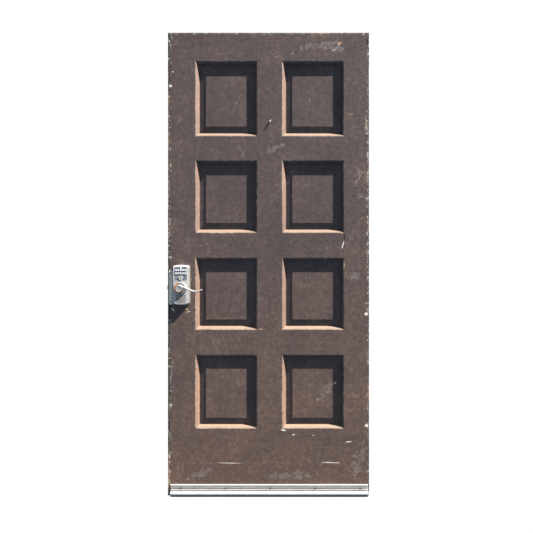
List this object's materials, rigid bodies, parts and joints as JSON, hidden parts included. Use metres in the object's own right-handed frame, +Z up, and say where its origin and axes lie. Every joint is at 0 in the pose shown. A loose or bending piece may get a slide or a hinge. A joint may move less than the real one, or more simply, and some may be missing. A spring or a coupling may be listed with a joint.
{
  "type": "panelled front door",
  "caption": "Painted timber front door leaf with raised panels, keypad lever lock, edge strip beside the lock and a door sweep.",
  "frame": {"origin": "middle of the leaf's bottom face, halfway through its thickness", "axes": "+Z up the leaf, -Y out of the outside face, -X towards the lock edge and +X towards the hinge edge"},
  "size_m": [0.9267, 0.1494, 2.107],
  "materials": {
    "painted_frame_wood": "dark brown paint, worn and chipped",
    "painted_panel_wood": "dark brown paint, faintly brushed",
    "dowel_wood": "bare turned hardwood",
    "sweep_aluminium": "oxidised pale mill finish",
    "sweep_rubber": "black, dull",
    "dark_screw_steel": "darkened",
    "edge_strip_brass": "dulled, cream to brown",
    "satin_nickel": "satin, slightly worn",
    "satin_nickel_grey": "satin, grey",
    "keypad_face": "blue-grey satin",
    "key_caps": "pale, slightly glossy",
    "circuit_board": "green lacquer",
    "cylinder_brass": "worn",
    "worn_nickel_brass": "nickel worn through to brass at the rim",
    "lever_nickel": "satin nickel",
    "chassis_steel": "zinc plated",
    "latch_brass": "dulled",
    "battery_case": "plain dark sleeve"
  },
  "bodies": {
    "leaf": {"lock_stile": "painted_frame_wood", "hinge_stile": "painted_frame_wood", "top_rail": "painted_frame_wood", "upper_rail": "painted_frame_wood", "middle_rail": "painted_frame_wood", "lower_rail": "painted_frame_wood", "bottom_rail": "painted_frame_wood", "muntin_row_1": "painted_frame_wood", "muntin_row_2": "painted_frame_wood", "muntin_row_3": "painted_frame_wood", "muntin_row_4": "painted_frame_wood", "panel_row_1_lock_side": "painted_panel_wood", "panel_row_1_hinge_side": "painted_panel_wood", "panel_row_2_lock_side": "painted_panel_wood", "panel_row_2_hinge_side": "painted_panel_wood", "panel_row_3_lock_side": "painted_panel_wood", "panel_row_3_hinge_side": "painted_panel_wood", "panel_row_4_lock_side": "painted_panel_wood", "panel_row_4_hinge_side": "painted_panel_wood", "joint_dowels": "dowel_wood", "sweep_carrier": "sweep_aluminium", "sweep_fin": "sweep_rubber", "sweep_screws": "dark_screw_steel", "edge_strip": "edge_strip_brass", "edge_strip_screws": "dark_screw_steel", "outside_housing": "satin_nickel", "keypad_panel": "keypad_face", "lower_panel": "satin_nickel_grey", "circuit_board": "circuit_board", "cylinder_body": "satin_nickel_grey", "outside_rose": "worn_nickel_brass", "lock_chassis": "chassis_steel", "latch_tube": "chassis_steel", "latch_faceplate": "latch_brass", "faceplate_screws": "latch_brass", "inside_housing": "satin_nickel", "battery": "battery_case", "inside_rose": "satin_nickel_grey", "through_bolts": "chassis_steel"},
    "outside_handle": {"outside_lever": "lever_nickel", "outside_spindle": "chassis_steel"},
    "inside_handle": {"inside_lever": "lever_nickel", "inside_spindle": "chassis_steel"},
    "latch": {"latch_bolt": "latch_brass"},
    "deadlatch": {"deadlatch_plunger": "latch_brass"},
    "key_1_body": {"key_1": "key_caps"},
    "key_2_body": {"key_2": "key_caps"},
    "key_3_body": {"key_3": "key_caps"},
    "key_4_body": {"key_4": "key_caps"},
    "key_5_body": {"key_5": "key_caps"},
    "key_6_body": {"key_6": "key_caps"},
    "key_7_body": {"key_7": "key_caps"},
    "key_8_body": {"key_8": "key_caps"},
    "key_9_body": {"key_9": "key_caps"},
    "key_0_body": {"key_0": "key_caps"},
    "call_button_body": {"call_button": "key_caps"},
    "plug": {"cylinder_plug": "cylinder_brass"},
    "turn": {"thumb_turn": "lever_nickel"},
    "cover": {"battery_cover": "satin_nickel"}
  },
  "joints": [
    {"name": "outside_lever_turn", "type": "hinge", "parent": "leaf", "child": "outside_handle", "pos_m": [-0.3945, 0, 0.943], "axis": [0, 1, 0], "range_deg": [0, 50], "stiffness_Nm_per_rad": 1.2, "springref_deg": -20.05},
    {"name": "inside_lever_turn", "type": "hinge", "parent": "leaf", "child": "inside_handle", "pos_m": [-0.3945, 0, 0.943], "axis": [0, 1, 0], "range_deg": [0, 50], "stiffness_Nm_per_rad": 1.2, "springref_deg": -20.05},
    {"name": "latch_slide", "type": "slide", "parent": "leaf", "child": "latch", "axis": [1, 0, 0], "range_m": [0, 0.0128], "stiffness_N_per_m": 150, "springref_m": -0.01},
    {"name": "deadlatch_slide", "type": "slide", "parent": "latch", "child": "deadlatch", "axis": [1, 0, 0], "range_m": [0, 0.0105], "stiffness_N_per_m": 60, "springref_m": -0.01},
    {"name": "key_1_press", "type": "slide", "parent": "leaf", "child": "key_1_body", "axis": [0, 1, 0], "range_m": [0, 0.0008], "stiffness_N_per_m": 500, "springref_m": -0.0005},
    {"name": "key_2_press", "type": "slide", "parent": "leaf", "child": "key_2_body", "axis": [0, 1, 0], "range_m": [0, 0.0008], "stiffness_N_per_m": 500, "springref_m": -0.0005},
    {"name": "key_3_press", "type": "slide", "parent": "leaf", "child": "key_3_body", "axis": [0, 1, 0], "range_m": [0, 0.0008], "stiffness_N_per_m": 500, "springref_m": -0.0005},
    {"name": "key_4_press", "type": "slide", "parent": "leaf", "child": "key_4_body", "axis": [0, 1, 0], "range_m": [0, 0.0008], "stiffness_N_per_m": 500, "springref_m": -0.0005},
    {"name": "key_5_press", "type": "slide", "parent": "leaf", "child": "key_5_body", "axis": [0, 1, 0], "range_m": [0, 0.0008], "stiffness_N_per_m": 500, "springref_m": -0.0005},
    {"name": "key_6_press", "type": "slide", "parent": "leaf", "child": "key_6_body", "axis": [0, 1, 0], "range_m": [0, 0.0008], "stiffness_N_per_m": 500, "springref_m": -0.0005},
    {"name": "key_7_press", "type": "slide", "parent": "leaf", "child": "key_7_body", "axis": [0, 1, 0], "range_m": [0, 0.0008], "stiffness_N_per_m": 500, "springref_m": -0.0005},
    {"name": "key_8_press", "type": "slide", "parent": "leaf", "child": "key_8_body", "axis": [0, 1, 0], "range_m": [0, 0.0008], "stiffness_N_per_m": 500, "springref_m": -0.0005},
    {"name": "key_9_press", "type": "slide", "parent": "leaf", "child": "key_9_body", "axis": [0, 1, 0], "range_m": [0, 0.0008], "stiffness_N_per_m": 500, "springref_m": -0.0005},
    {"name": "key_0_press", "type": "slide", "parent": "leaf", "child": "key_0_body", "axis": [0, 1, 0], "range_m": [0, 0.0008], "stiffness_N_per_m": 500, "springref_m": -0.0005},
    {"name": "call_button_press", "type": "slide", "parent": "leaf", "child": "call_button_body", "axis": [0, 1, 0], "range_m": [0, 0.0008], "stiffness_N_per_m": 500, "springref_m": -0.0005},
    {"name": "key_turn", "type": "hinge", "parent": "leaf", "child": "plug", "pos_m": [-0.3945, 0, 0.99], "axis": [0, 1, 0], "range_deg": [-90, 90]},
    {"name": "thumb_turn_turn", "type": "hinge", "parent": "leaf", "child": "turn", "pos_m": [-0.3945, 0, 0.99], "axis": [0, 1, 0], "range_deg": [0, 90]},
    {"name": "battery_cover_slide", "type": "slide", "parent": "leaf", "child": "cover", "axis": [0, 0, 1], "range_m": [0, 0.046]}
  ],
  "couplings": [
    {"joint": "latch_slide", "follows": "inside_lever_turn", "m_per_rad": 0.01455}
  ]
}
